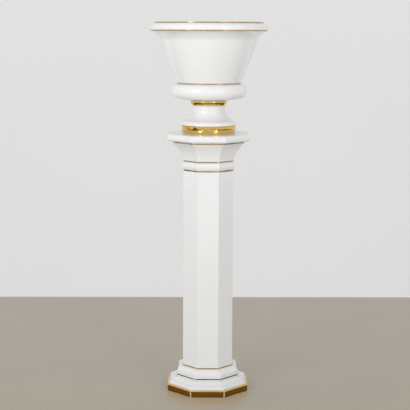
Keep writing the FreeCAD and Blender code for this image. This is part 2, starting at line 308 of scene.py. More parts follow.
class Outline:
    """A casting's outline, walked with the open air on the right hand.

    It is made of straight and round runs. Where two meet, the corner between them may be softened.
    """

    def __init__(self, r, z):
        self.end = Vector((r, z))
        self.runs = []

    def add(self, points, soft, corner, bare):
        self.runs.append(Run(points, soft, corner, bare))
        self.end = points[-1]
        return self

    def line(self, r, z, soft=0.0, corner=0.0, bare=0.0):
        """A straight run. The corner at its end is cut back by soft and rounded."""
        return self.add([self.end, Vector((r, z))], soft, corner, bare)

    def turn(self, r, z, centre, soft=0.0, corner=0.0, bare=0.0):
        """An arc about a centre."""
        points = swept(self.end, Vector((r, z)), Vector(centre))
        return self.add(points, soft, corner, bare)

    def bow(self, r, z, rise, soft=0.0, corner=0.0, bare=0.0):
        """A shallow arc that stands out from its chord by rise, to the right of the way there."""
        end = Vector((r, z))
        chord = end - self.end
        aside = Vector((chord.y, -chord.x)).normalized()
        radius = (chord.length_squared / 4 + rise ** 2) / (2 * rise)
        centre = (self.end + end) / 2 + (rise - radius) * aside
        return self.add(swept(self.end, end, centre), soft, corner, bare)

    def stations(self, longest=LONGEST):
        """The outline as stations, its corners softened and its straight runs divided."""
        runs = self.runs
        closed = (runs[-1].points[-1] - runs[0].points[0]).length < CLOSED
        junctions = []
        trimmed = []
        for i, run in enumerate(runs):
            before = runs[i - 1].soft if i or closed else 0.0
            points = cut(run.points, before)
            trimmed.append(cut(points[::-1], run.soft)[::-1])
        placed = []
        for i, (run, points) in enumerate(zip(runs, trimmed)):
            placed.append((points[0], run.corner, run.bare))
            for a, b in zip(points, points[1:]):
                way = divided(a, b, longest) if (b - a).length > 2 * FINE else [b]
                placed += [(p, run.corner, run.bare) for p in way]
            if i + 1 == len(runs) and not closed:
                break
            after, following = runs[(i + 1) % len(runs)], trimmed[(i + 1) % len(runs)]
            here, there = points[-1], following[0]
            corner = run.points[-1]
            came, goes = (here - points[-2]).normalized(), (following[1] - there).normalized()
            turn = math.asin(max(-1.0, min(1.0, came.x * goes.y - came.y * goes.x)))
            junctions.append((corner, math.sin(turn)))
            if run.soft:
                for t in SOFTENED:
                    point = here.lerp(corner, t).lerp(corner.lerp(there, t), t)
                    placed.append((point, run.corner + t * (after.corner - run.corner),
                                   run.bare + t * (after.bare - run.bare)))
        if closed:
            placed.append(placed[0])
        made = []
        for point, corner, bare in placed:
            if made and math.hypot(made[-1].r - point.x, made[-1].z - point.y) < SAME_PLACE:
                continue
            crease = sum(
                strength * math.exp(-((point - at).length / CREASE_SPREAD) ** 2)
                for at, strength in junctions
            )
            made.append(Station(point.x, point.y, crease, corner, bare, 0.0, 0.0, 0.0))
        return made


def stretch(stations, start, end):
    """The part of an outline's stations between the places nearest to start and end."""
    line = [Vector((s.r, s.z)) for s in stations]

    def nearest(place):
        best = None
        for i, (a, b) in enumerate(zip(line, line[1:])):
            t = max(0.0, min(1.0, (place - a).dot(b - a) / (b - a).length_squared))
            gap = (a.lerp(b, t) - place).length
            if best is None or gap < best[0]:
                best = (gap, i, t)
        return best[1:]

    def between(i, t):
        a, b = stations[i], stations[i + 1]
        return Station(*(x + t * (y - x) for x, y in zip(a, b)))

    first, last = nearest(Vector(start)), nearest(Vector(end))
    return [between(*first), *stations[first[0] + 1:last[0] + 1], between(*last)]


def film(stations, lift, sink, fade):
    """A closed outline for the gold that lies over a stretch of a casting, feathered at each brink.

    Its look fades over the given distance from each brink.
    """
    line = [Vector((s.r, s.z)) for s in stations]
    away = [0.0]
    for a, b in zip(line, line[1:]):
        away.append(away[-1] + (b - a).length)
    whole = away[-1]

    def at(distance):
        i = max(k for k in range(len(line) - 1) if away[k] <= distance)
        t = (distance - away[i]) / (away[i + 1] - away[i])
        way = (line[i + 1] - line[i]).normalized()
        corner = stations[i].corner + t * (stations[i + 1].corner - stations[i].corner)
        crease = stations[i].crease + t * (stations[i + 1].crease - stations[i].crease)
        return line[i].lerp(line[i + 1], t), way, corner, crease

    _, under_from, full_from, steady_from = BRINK
    inner = [d for d in away if steady_from < d < whole - steady_from]
    places = sorted({*BRINK, *inner, *(whole - d for d in BRINK)})
    outer, under = [], []
    for place in places:
        point, way, corner, crease = at(min(place, whole * (1 - 1e-9)))
        outward = Vector((way.y, -way.x))
        near = min(place, whole - place)
        raised = lift * min(1.0, 0.1 + near / full_from)
        edge = max(0.0, 1.0 - near / fade)
        free = max(0.0, 1.0 - near / steady_from)
        slide = free * way * (1.0 if place > whole / 2 else -1.0)
        top = point + raised * outward
        outer.append(Station(*top, crease, corner + raised, 0.0, edge, *slide))
        if near >= under_from:
            low = point - sink * outward
            under.append(Station(*low, crease, max(0.0, corner - sink), 0.0, edge, *slide))
    return [*outer, *reversed(under), outer[0]]


# ---------------------------------------------------------------------------------------------
# Node trees


class Graph:
    """Adds nodes to a tree. A node's inputs are given in order, as sockets or as plain values."""

    def __init__(self, tree):
        self.tree = tree

    def add(self, kind, *values, **settings):
        node = self.tree.nodes.new(kind)
        for key, value in settings.items():
            setattr(node, key, value)
        for socket, value in zip([s for s in node.inputs if s.enabled], values):
            self.set(socket, value)
        return node

    def set(self, socket, value):
        if isinstance(value, bpy.types.Node):
            value = next(s for s in value.outputs if s.enabled)
        if isinstance(value, NodeSocket):
            self.tree.links.new(value, socket)
        elif value is not None:
            socket.default_value = value

    def math(self, operation, *values, clamp=False):
        return self.add("ShaderNodeMath", *values, operation=operation, use_clamp=clamp)

    def whole(self, operation, *values):
        return self.add("FunctionNodeIntegerMath", *values, operation=operation)

    def vector(self, operation, *values):
        return self.add("ShaderNodeVectorMath", *values, operation=operation)

    def scaled(self, vector, factor):
        return self.vector("SCALE", vector, factor)

    def mix(self, factor, a, b):
        return self.add("ShaderNodeMix", factor, a, b, data_type="RGBA")

    def blend(self, factor, a, b):
        return self.add("ShaderNodeMix", factor, a, b, data_type="FLOAT")

    def ramp(self, value, low, high, to_low=0.0, to_high=1.0):
        return self.add("ShaderNodeMapRange", value, low, high, to_low, to_high,
                        interpolation_type="SMOOTHSTEP")

    def noise(self, vector, scale, detail=2.0, roughness=0.5, distortion=0.0):
        return self.add("ShaderNodeTexNoise", vector, scale, detail, roughness, 2.0, distortion)

    def arrange(self):
        """Sets the nodes out in columns, each to the right of all that it takes from."""
        column = {node: 0 for node in self.tree.nodes}
        for _ in self.tree.nodes:
            moved = False
            for link in self.tree.links:
                if column[link.to_node] <= column[link.from_node]:
                    column[link.to_node] = column[link.from_node] + 1
                    moved = True
            if not moved:
                break
        depth = {}
        for node, place in column.items():
            depth[place] = depth.get(place, 0) + 1
            node.location = (220 * place, -180 * depth[place])


def node_group(name, kind, given, results):
    """A new node group, its graph, and the nodes at its two ends."""
    tree = bpy.data.node_groups.new(name, kind)
    for label, socket_kind, default in given:
        socket = tree.interface.new_socket(label, in_out="INPUT", socket_type=socket_kind)
        if default is not None:
            socket.default_value = default
    for label, socket_kind in results:
        tree.interface.new_socket(label, in_out="OUTPUT", socket_type=socket_kind)
    return Graph(tree), tree.nodes.new("NodeGroupInput"), tree.nodes.new("NodeGroupOutput")


MOULDING_INPUTS = (
    ("Outline", "NodeSocketGeometry", None),
    ("Unevenness", "NodeSocketFloat", 0.0005),
    ("Ripple", "NodeSocketFloat", 0.0001),
    ("Edge waver", "NodeSocketFloat", 0.0003),
    ("Seed", "NodeSocketFloat", 1.0),
    ("Material", "NodeSocketMaterial", None),
)


def read_stations(graph, given, ring):
    """Reads the outline's station for each point of the rings. Returns the sockets by name."""
    index = graph.add("GeometryNodeInputIndex")
    station = graph.whole("DIVIDE_FLOOR", index, ring)
    read = {"around": graph.whole("MODULO", index, ring)}
    place = graph.add("ShaderNodeSeparateXYZ", graph.add(
        "GeometryNodeSampleIndex", given.outputs["Outline"],
        graph.add("GeometryNodeInputPosition"), station, data_type="FLOAT_VECTOR"))
    read["r"], read["z"] = place.outputs["X"], place.outputs["Z"]
    for name in Station._fields[2:]:
        value = graph.add("GeometryNodeInputNamedAttribute", name, data_type="FLOAT")
        read[name] = graph.add("GeometryNodeSampleIndex", given.outputs["Outline"], value, station,
                               data_type="FLOAT")
    return read


def rings(graph, given, ring):
    """One ring of points for each station of the outline, joined into a tube."""
    count = graph.add("GeometryNodeAttributeDomainSize", given.outputs["Outline"])
    return graph.add("GeometryNodeMeshCylinder", ring, graph.whole("SUBTRACT", count, 1),
                     fill_type="NONE")


def finish_moulding(graph, given, result, tube, read, flat_place, outward):
    """Places the tube's points, lets them waver, closes its seams and gives it its finish."""
    placed = graph.add("GeometryNodeSetPosition", tube, None, flat_place)
    position = graph.add("GeometryNodeInputPosition")
    long_wave = graph.add("ShaderNodeTexNoise", position, given.outputs["Seed"], LONG_WAVES, 1.0,
                          noise_dimensions="4D")
    short_wave = graph.add("ShaderNodeTexNoise", position, given.outputs["Seed"], SHORT_WAVES, 1.0,
                           noise_dimensions="4D")
    brink_wave = graph.add("ShaderNodeTexNoise", position, given.outputs["Seed"], BRINK_WAVES, 3.0,
                           noise_dimensions="4D")
    inward = graph.math("ADD", graph.math("MULTIPLY", long_wave, given.outputs["Unevenness"]),
                        graph.math("MULTIPLY", short_wave, given.outputs["Ripple"]))
    shrink = graph.scaled(outward, graph.math("MULTIPLY", inward, -1.0))
    stray = graph.math("MULTIPLY", given.outputs["Edge waver"], graph.math(
        "MULTIPLY_ADD", brink_wave, 2.0, -1.0))
    slide = graph.vector("ADD", graph.scaled(outward, read["slide_r"]),
                         graph.add("ShaderNodeCombineXYZ", 0.0, 0.0, read["slide_z"]))
    strayed = graph.scaled(slide, stray)
    geometry = graph.add("GeometryNodeSetPosition", placed, None, None,
                         graph.vector("ADD", shrink, strayed))
    for name in ("crease", "bare", "edge", "arris"):
        geometry = graph.add("GeometryNodeStoreNamedAttribute", geometry, None, name, read[name],
                             data_type="FLOAT", domain="POINT")
    geometry = graph.add("GeometryNodeFlipFaces", geometry)
    geometry = graph.add("GeometryNodeMergeByDistance", geometry, None, WELD)
    geometry = graph.add("GeometryNodeSetShadeSmooth", geometry, None, True)
    geometry = graph.add("GeometryNodeRealizeInstances", geometry)
    geometry = graph.add("GeometryNodeSetMaterial", geometry, None, given.outputs["Material"])
    graph.set(result.inputs[0], geometry)
    graph.arrange()


def turned_moulding():
    """A tree that turns an outline about the upright axis."""
    graph, given, result = node_group(
        "Turned moulding", "GeometryNodeTree",
        (*MOULDING_INPUTS, ("Around", "NodeSocketInt", 128)), (("Moulding", "NodeSocketGeometry"),))
    ring = given.outputs["Around"]
    read = read_stations(graph, given, ring)
    read["arris"] = 0.0
    angle = graph.math("MULTIPLY", graph.math("DIVIDE", read["around"], ring), math.tau)
    outward = graph.add("ShaderNodeCombineXYZ", graph.math("COSINE", angle),
                        graph.math("SINE", angle), 0.0)
    place = graph.vector("ADD", graph.scaled(outward, read["r"]),
                         graph.add("ShaderNodeCombineXYZ", 0.0, 0.0, read["z"]))
    finish_moulding(graph, given, result, rings(graph, given, ring), read, place, outward)
    return graph.tree


def mitred_moulding():
    """A tree that mitres an outline round a regular octagon with rounded upright corners.

    Each of the eight repeats of a ring is one corner's arc and then the flat after it. The arc is
    centred where two flats meet that lie inside the real ones by the rounding.
    """
    graph, given, result = node_group(
        "Mitred moulding", "GeometryNodeTree",
        (*MOULDING_INPUTS, ("Corner steps", "NodeSocketInt", 6), ("Flat steps", "NodeSocketInt", 9),
         ("Support", "NodeSocketFloat", 0.0015)),
        (("Moulding", "NodeSocketGeometry"),))
    corner_steps, flat_steps = given.outputs["Corner steps"], given.outputs["Flat steps"]
    repeat = graph.whole("ADD", graph.whole("ADD", corner_steps, flat_steps), 2)
    ring = graph.whole("MULTIPLY", repeat, SIDES)
    read = read_stations(graph, given, ring)
    side = graph.whole("DIVIDE_FLOOR", read["around"], repeat)
    step = graph.whole("MODULO", read["around"], repeat)
    eighth = math.tau / SIDES

    rounding = graph.math("MINIMUM", read["corner"], graph.math("MULTIPLY", read["r"], 0.5))
    inner = graph.math("SUBTRACT", read["r"], rounding)

    def towards(angle):
        return graph.add("ShaderNodeCombineXYZ", graph.math("COSINE", angle),
                         graph.math("SINE", angle), 0.0)

    arc_angle = graph.math("MULTIPLY", eighth, graph.math("ADD", side, graph.math(
        "DIVIDE", graph.math("MINIMUM", step, corner_steps), corner_steps)))
    corner_angle = graph.math("MULTIPLY", eighth, graph.math("ADD", side, 0.5))
    hub = graph.scaled(towards(corner_angle),
                       graph.math("DIVIDE", inner, math.cos(eighth / 2)))
    arc = graph.vector("ADD", hub, graph.scaled(towards(arc_angle), rounding))

    flat_angle = graph.math("MULTIPLY", eighth, graph.math("ADD", side, 1.0))
    flat_out = towards(flat_angle)
    flat_way = towards(graph.math("ADD", flat_angle, math.tau / 4))
    half_flat = graph.math("MULTIPLY", inner, math.tan(eighth / 2))
    support = graph.math("MINIMUM", given.outputs["Support"],
                         graph.math("MULTIPLY", half_flat, 0.2))
    flat_step = graph.whole("SUBTRACT", graph.whole("SUBTRACT", step, corner_steps), 1)
    along = graph.math("MULTIPLY", half_flat, graph.math(
        "SUBTRACT", graph.math("MULTIPLY", 2.0, graph.math("DIVIDE", flat_step, flat_steps)), 1.0))
    most = graph.math("SUBTRACT", half_flat, support)
    along = graph.add("ShaderNodeClamp", along, graph.math("MULTIPLY", most, -1.0), most)
    flat = graph.vector("ADD", graph.scaled(flat_out, read["r"]),
                        graph.scaled(flat_way, along))

    on_arc = graph.add("FunctionNodeCompare", step, corner_steps, data_type="INT",
                       operation="LESS_EQUAL")
    read["arris"] = graph.blend(on_arc, 0.0, 1.0)
    level = graph.add("GeometryNodeSwitch", on_arc, flat, arc, input_type="VECTOR")
    outward = graph.vector("NORMALIZE", level)
    place = graph.vector("ADD", level, graph.add("ShaderNodeCombineXYZ", 0.0, 0.0, read["z"]))
    finish_moulding(graph, given, result, rings(graph, given, ring), read, place, outward)
    return graph.tree


def moulded(name, tree, stations, **settings):
    """Runs an outline's stations through a tree. Returns the result as a plain mesh's object."""
    drawn = bpy.data.meshes.new(name + "_outline")
    drawn.from_pydata([(s.r, 0.0, s.z) for s in stations],
                      [(i, i + 1) for i in range(len(stations) - 1)], [])
    for field in Station._fields[2:]:
        layer = drawn.attributes.new(field, "FLOAT", "POINT")
        layer.data.foreach_set("value", [getattr(s, field) for s in stations])
    carrier = bpy.data.objects.new(name + "_outline", drawn)
    bpy.context.scene.collection.objects.link(carrier)
    modifier = carrier.modifiers.new("Moulding", "NODES")
    modifier.node_group = tree
    for item in tree.interface.items_tree:
        if item.in_out == "INPUT" and item.name in settings:
            modifier[item.identifier] = settings[item.name]
    made = carrier.evaluated_get(bpy.context.evaluated_depsgraph_get())
    mesh = bpy.data.meshes.new_from_object(made)
    mesh.name = name
    bpy.data.objects.remove(carrier)
    bpy.data.meshes.remove(drawn)
    piece = bpy.data.objects.new(name, mesh)
    bpy.context.scene.collection.objects.link(piece)
    return piece


# ---------------------------------------------------------------------------------------------
# Materials


def fired_surface():
    """A shader group for what the kiln leaves on glaze and lustre alike: swell, peel, pinholes."""
    graph, given, result = node_group(
        "Fired surface", "ShaderNodeTree",
        (("Vector", "NodeSocketVector", None), ("Swell Scale", "NodeSocketFloat", 26.0),
         ("Peel Scale", "NodeSocketFloat", 420.0), ("Peel", "NodeSocketFloat", 0.12),
         ("Pinhole Scale", "NodeSocketFloat", 70.0), ("Pinhole Size", "NodeSocketFloat", 0.04)),
        (("Height", "NodeSocketFloat"), ("Mottle", "NodeSocketFloat"),
         ("Pinholes", "NodeSocketFloat")))
    place = given.outputs["Vector"]
    swell = graph.noise(place, given.outputs["Swell Scale"], 2.0)
    peel = graph.noise(place, given.outputs["Peel Scale"], 1.0)
    cells = graph.add("ShaderNodeTexVoronoi", place, given.outputs["Pinhole Scale"])
    rare = graph.math("GREATER_THAN", graph.add(
        "ShaderNodeSeparateColor", cells.outputs["Color"]), 0.93)
    dots = graph.ramp(cells.outputs["Distance"], given.outputs["Pinhole Size"], 0.0)
    pinholes = graph.math("MULTIPLY", rare, dots)
    height = graph.math("MULTIPLY_ADD", peel, given.outputs["Peel"], swell)
    graph.set(result.inputs["Height"], graph.math("SUBTRACT", height, pinholes))
    graph.set(result.inputs["Mottle"], graph.noise(place, 7.0, 3.0, 0.6))
    graph.set(result.inputs["Pinholes"], pinholes)
    graph.arrange()
    return graph.tree


def settled_dust():
    """A shader group for the faint dust on upward faces and in creases."""
    graph, given, result = node_group(
        "Settled dust", "ShaderNodeTree",
        (("Vector", "NodeSocketVector", None), ("Crease", "NodeSocketFloat", 0.0),
         ("Upward", "NodeSocketFloat", 0.10), ("In Creases", "NodeSocketFloat", 0.3)),
        (("Dust", "NodeSocketFloat"),))
    normal = graph.add("ShaderNodeNewGeometry").outputs["Normal"]
    upward = graph.ramp(graph.add("ShaderNodeSeparateXYZ", normal).outputs["Z"], 0.75, 1.0)
    hollow = graph.math("MULTIPLY", given.outputs["Crease"], -1.0, clamp=True)
    fleck = graph.ramp(graph.noise(given.outputs["Vector"], 160.0, 4.0, 0.7), 0.35, 0.75)
    lying = graph.math("MULTIPLY", graph.math("MULTIPLY", upward, fleck), given.outputs["Upward"])
    caught = graph.math("MULTIPLY", graph.math("MULTIPLY", hollow, hollow),
                        given.outputs["In Creases"])
    graph.set(result.inputs["Dust"], graph.math("ADD", lying, caught, clamp=True))
    graph.arrange()
    return graph.tree


def shared(name, build):
    """The node group of that name, built the first time that it is asked for."""
    return bpy.data.node_groups.get(name) or build()


def effect(graph, name, build, inputs):
    """Places a shared shader group in a material, with the material's own values for its inputs."""
    node = graph.add("ShaderNodeGroup", node_tree=shared(name, build))
    for label, value in inputs.items():
        graph.set(node.inputs[label], value)
    return node


def new_material(name):
    """A material with a principled shader. Returns it, its graph and the shader."""
    material = bpy.data.materials.new(name)
    material.use_nodes = True
    return material, Graph(material.node_tree), material.node_tree.nodes["Principled BSDF"]


def attribute(graph, name):
    return graph.add("ShaderNodeAttribute", attribute_name=name).outputs["Fac"]


def opaque(rgb):
    return (*rgb, 1.0)


def glaze_material(look):
    """White glaze over pale clay: thick in creases, thin on edges, bare inside and below."""
    if "White glaze" in bpy.data.materials:
        return bpy.data.materials["White glaze"]
    material, graph, shader = new_material("White glaze")
    place = graph.add("ShaderNodeTexCoord").outputs["Object"]
    crease, bare = attribute(graph, "crease"), attribute(graph, "bare")
    fired = effect(graph, "Fired surface", fired_surface, {"Vector": place})
    dust = effect(graph, "Settled dust", settled_dust, {"Vector": place, "Crease": crease})

    hollow = graph.math("MULTIPLY", crease, -0.9, clamp=True)
    brink = graph.math("MULTIPLY", crease, 0.8, clamp=True)
    tone = graph.mix(graph.ramp(fired.outputs["Mottle"], 0.3, 0.7, 0.0, 0.25),
                     opaque(look.white), opaque([0.97 * c for c in look.white]))
    tone = graph.mix(hollow, tone, opaque(look.pooled))
    tone = graph.mix(brink, tone, opaque(look.thin))
    tone = graph.mix(graph.math("MULTIPLY", fired.outputs["Pinholes"], 0.55), tone,
                     opaque(look.speck))
    tone = graph.mix(dust, tone, DUST_ON_GLAZE)

    grain = graph.noise(place, 900.0, 3.0, 0.65)
    clay = graph.mix(graph.ramp(graph.noise(place, 34.0, 5.0, 0.65), 0.3, 0.75), opaque(look.clay),
                     opaque([0.82 * c for c in look.clay]))
    clay = graph.mix(graph.ramp(grain, 0.55, 0.8, 0.0, 0.35), clay, CLAY_GRIT)
    bareness = graph.ramp(graph.math("ADD", bare, graph.math("MULTIPLY_ADD", graph.noise(
        place, 120.0, 3.0), 0.3, -0.15)), 0.4, 0.6)
    graph.set(shader.inputs["Base Color"], graph.mix(bareness, tone, clay))
    glossy = graph.math("ADD", graph.ramp(fired.outputs["Mottle"], 0.25, 0.75, look.roughness,
                                          look.roughness + 0.06), dust)
    graph.set(shader.inputs["Roughness"], graph.blend(bareness, glossy, CLAY_ROUGHNESS))
    graph.set(shader.inputs["Coat Weight"], graph.math("MULTIPLY_ADD", bareness, -look.gloss,
                                                       look.gloss))
    shader.inputs["Coat Roughness"].default_value = COAT_ROUGHNESS
    shader.inputs["IOR"].default_value = GLAZE_IOR
    height = graph.blend(bareness, fired.outputs["Height"], grain)
    graph.set(shader.inputs["Normal"], graph.add("ShaderNodeBump", 0.35, 0.0004, None, height))
    graph.arrange()
    return material


def gold_material(look):
    """Fired gold lustre, brushed round by hand: streaked, thin and brown at each brink, rubbed off
    its edges, and with a painted highlight on its upright corners.
    """
    if "Gold lustre" in bpy.data.materials:
        return bpy.data.materials["Gold lustre"]
    material, graph, shader = new_material("Gold lustre")
    place = graph.add("ShaderNodeTexCoord").outputs["Object"]
    crease, edge, arris = (attribute(graph, name) for name in ("crease", "edge", "arris"))
    fired = effect(graph, "Fired surface", fired_surface, {
        "Vector": place, "Swell Scale": 60.0, "Peel": 0.02, "Pinhole Scale": 160.0})
    dust = effect(graph, "Settled dust", settled_dust, {
        "Vector": place, "Crease": crease, "Upward": 0.16})

    strokes = graph.noise(graph.add("ShaderNodeMapping", place, None, None, (14.0, 14.0, 900.0)),
                          1.0, 4.0, 0.6, 0.4)
    tone = graph.mix(graph.ramp(strokes, 0.35, 0.7), opaque(look.gold), opaque(look.deep))
    tone = graph.mix(graph.ramp(fired.outputs["Mottle"], 0.4, 0.8, 0.0, 0.4), tone,
                     opaque(look.deep))
    fray = graph.ramp(graph.math("MULTIPLY", edge, graph.ramp(
        graph.noise(place, 300.0, 3.0, 0.6), 0.3, 0.7, 0.45, 1.3)), 0.0, 0.8)
    tone = graph.mix(fray, tone, opaque(look.thin))
    tone = graph.mix(dust, tone, DUST_ON_GOLD)
    rubbed = graph.math("MULTIPLY", graph.math("MAXIMUM", crease, 0.0), graph.ramp(
        graph.noise(place, 210.0, 5.0, 0.7), 0.62, 0.70))
    # On the upright corners this cream is a painted highlight as well as wear. It stands in for the
    # glints on the rounded corners, and the lustre there is made less metallic so that the cream
    # shows.
    worn_and_glint = graph.math("MAXIMUM", rubbed, graph.math("MULTIPLY", arris, graph.ramp(
        graph.noise(place, 240.0, 3.0, 0.6), 0.30, 0.55)))
    graph.set(shader.inputs["Base Color"], graph.mix(
        graph.math("MULTIPLY", worn_and_glint, 0.8), tone, opaque(look.worn_and_glint)))
    graph.set(shader.inputs["Metallic"], graph.math("SUBTRACT", 1.0, graph.math(
        "ADD", graph.math("MULTIPLY", dust, 0.8), graph.math("MULTIPLY", worn_and_glint, 0.75)),
        clamp=True))
    graph.set(shader.inputs["Roughness"], graph.math("ADD", graph.ramp(
        strokes, 0.3, 0.75, look.roughness, look.roughness + 0.04), graph.math(
        "MULTIPLY_ADD", fray, 0.12, graph.math("MULTIPLY", dust, 0.6))))
    height = graph.math("MULTIPLY_ADD", strokes, 0.012, fired.outputs["Height"])
    graph.set(shader.inputs["Normal"], graph.add("ShaderNodeBump", 1.0, 0.0014, None, height))
    graph.arrange()
    return material


def floor_material(look):
    """A plain pale floor, sealed and slightly glossy, with a fine grain. Diffuse rays see the paler
    bounce colour, and glossy rays see a dark brown, painted shade that metal and glaze mirror in
    place of the lit floor.
    """
    material, graph, shader = new_material("Studio floor")
    place = graph.add("ShaderNodeTexCoord").outputs["Object"]
    cloud = graph.ramp(graph.noise(place, 3.0, 6.0, 0.6), 0.3, 0.7)
    fine = graph.noise(place, 140.0, 3.0, 0.6)
    tone = graph.mix(cloud, opaque(look.floor), opaque([0.95 * c for c in look.floor]))
    tone = graph.mix(graph.ramp(fine, 0.5, 0.8, 0.0, 0.2), tone,
                     opaque([0.85 * c for c in look.floor]))
    rays = graph.add("ShaderNodeLightPath").outputs
    # Diffuse rays see the paler bounce colour. Glossy rays see the mirrored colour, painted shade
    # in every reflection of the floor.
    tone = graph.mix(rays["Is Diffuse Ray"], tone, opaque(look.bounce))
    graph.set(shader.inputs["Base Color"], graph.mix(rays["Is Glossy Ray"], tone,
                                                     opaque(look.mirrored_shade)))
    graph.set(shader.inputs["Specular IOR Level"], graph.math("MULTIPLY", 0.5, graph.math(
        "SUBTRACT", 1.0, rays["Is Glossy Ray"])))
    shader.inputs["Roughness"].default_value = 0.24
    graph.set(shader.inputs["Normal"], graph.add("ShaderNodeBump", 0.35, 0.001, None, fine))
    graph.arrange()
    return material


def backdrop_rays(graph, rays):
    """1 for the rays that see the backdrop as it is: the camera's, and those in metal and glass."""
    return graph.math("MAXIMUM", rays["Is Camera Ray"], graph.math(
        "MAXIMUM", rays["Is Glossy Ray"], rays["Is Transmission Ray"]))


def wall_material(look):
    """A plain pale wall that can't be seen from behind and keeps no light off what is there."""
    material, graph, shader = new_material("Studio wall")
    shader.inputs["Base Color"].default_value = opaque(look.wall)
    shader.inputs["Roughness"].default_value = 0.9
    shader.inputs["Specular IOR Level"].default_value = 0.1
    rays = graph.add("ShaderNodeLightPath").outputs
    seen = backdrop_rays(graph, rays)
    glow = graph.add("ShaderNodeEmission", opaque(look.wall), 1.0)
    even = graph.add("ShaderNodeMixShader", graph.math("MULTIPLY", seen, look.wall_glow), shader,
                     glow)
    behind = graph.add("ShaderNodeNewGeometry").outputs["Backfacing"]
    clear = graph.math("MAXIMUM", rays["Is Shadow Ray"],
                       graph.math("MULTIPLY", behind, rays["Is Camera Ray"]))
    mixed = graph.add("ShaderNodeMixShader", clear, even, graph.add("ShaderNodeBsdfTransparent"))
    graph.set(material.node_tree.nodes["Material Output"].inputs["Surface"], mixed)
    graph.arrange()
    return material


# ---------------------------------------------------------------------------------------------
# Outlines of the five castings


def low(node):
    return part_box(node)[0].z


def high(node):
    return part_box(node)[1].z


def half(node):
    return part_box(node)[1].x


def plinth_outline(sizes):
    """The pedestal's spreading foot: band, ledge, round step, splay, riser and quarter round."""
    base, riser, shaft = half("plinth_gilt_band"), half("plinth_gilt_line"), half("shaft_gilt_line")
    band_top, top = high("plinth_gilt_band"), high("pedestal_plinth")
    riser_top = top - (riser - shaft)
    step = base - sizes.ledge
    step_top = band_top + sizes.step_height
    splay, splay_bottom = step - sizes.step_round, step_top + sizes.step_round
    splay_top = splay_bottom + sizes.splay_rise
    wall, corner = sizes.wall, sizes.plinth_corner
    inside = {"corner": corner, "bare": 1.0}
    outline = Outline(shaft - wall, top)
    outline.line(shaft - wall, top - wall, soft=0.002, **inside)
    outline.line(riser - wall, riser_top, soft=0.002, **inside)
    outline.line(riser - wall, splay_top - wall, soft=0.002, **inside)
    outline.line(base - wall, band_top - wall, soft=0.003, **inside)
    outline.line(base - wall, 0.0, soft=0.001, **inside)
    outline.line(base, 0.0, soft=0.0009, **inside)
    outline.line(base, band_top, soft=0.0022, corner=corner)
    outline.line(step, band_top, soft=0.0008, corner=corner)
    outline.line(step, step_top, corner=corner)
    outline.turn(splay, splay_bottom, (splay, step_top), soft=0.001, corner=corner)
    outline.bow(riser, splay_top, -sizes.splay_hollow, soft=0.0035, corner=corner)
    outline.line(riser, riser_top, corner=corner)
    outline.turn(shaft, top, (shaft, riser_top), corner=0.7 * corner)
    outline.line(shaft - wall, top, corner=sizes.shaft_corner, bare=1.0)
    return outline.stations()


def shaft_outline(sizes):
    """The tall tapered shaft, with glaze pooled round its foot."""
    foot, head = half("shaft_gilt_line"), half("astragal_lower_gilt_line")
    bottom, top = low("pedestal_shaft"), high("pedestal_shaft")
    wall, corner, pool = sizes.wall, sizes.shaft_corner, 0.0012
    outline = Outline(head - wall, top)
    outline.line(foot - wall, bottom, corner=corner, bare=1.0)
    outline.line(foot + pool, bottom, corner=corner, bare=1.0)
    outline.bow(foot, bottom + 1.5 * pool, -0.25 * pool, corner=corner)
    outline.line(head, top, soft=0.0004, corner=corner)
    outline.line(head - wall, top, corner=corner, bare=1.0)
    return outline.stations(LONGEST_ON_SHAFT)


def capital_outline(sizes):
    """The pedestal's head: astragal between two lines, cavetto, and a slab with rounded edges."""
    head, throat = half("astragal_lower_gilt_line"), half("capital_gilt_line")
    slab = half("pedestal_capital")
    bottom, top = low("pedestal_capital"), high("pedestal_capital")
    astragal_bottom = high("astragal_lower_gilt_line")
    astragal_top = low("astragal_upper_gilt_line")
    cavetto_bottom, cavetto_top = high("astragal_upper_gilt_line"), low("capital_gilt_line")
    slab_bottom = high("capital_gilt_line")
    slab_flat = slab - sizes.slab_round
    face_bottom, face_top = slab_bottom + sizes.slab_round, top - sizes.slab_round
    wall, corner = sizes.wall, sizes.capital_corner
    slab_corner = 1.3 * corner
    inside = {"corner": corner, "bare": 1.0}
    outline = Outline(0.0, top - wall)
    outline.line(throat - wall, top - wall, soft=0.002, **inside)
    outline.line(throat - wall, cavetto_top, soft=0.001, **inside)
    outline.bow(head - wall, cavetto_bottom, sizes.cavetto_hollow, soft=0.002, **inside)
    outline.line(head - wall, bottom, soft=0.001, **inside)
    outline.line(head, bottom, soft=0.0004, corner=sizes.shaft_corner, bare=1.0)
    outline.line(head, astragal_bottom, soft=0.0008, corner=sizes.shaft_corner)
    outline.bow(head, astragal_top, sizes.astragal_bulge, soft=0.0008, corner=corner)
    outline.line(head, cavetto_bottom, corner=corner)
    outline.bow(throat, cavetto_top, -sizes.cavetto_hollow, soft=0.0008, corner=corner)
    outline.line(throat, slab_bottom, soft=0.0008, corner=corner)
    outline.line(slab_flat, slab_bottom, corner=corner)
    outline.turn(slab, face_bottom, (slab_flat, face_bottom), corner=slab_corner)
    outline.line(slab, face_top, corner=slab_corner)
    outline.turn(slab_flat, top, (slab_flat, face_top), corner=slab_corner)
    outline.line(0.0, top, corner=corner)
    return outline.stations()


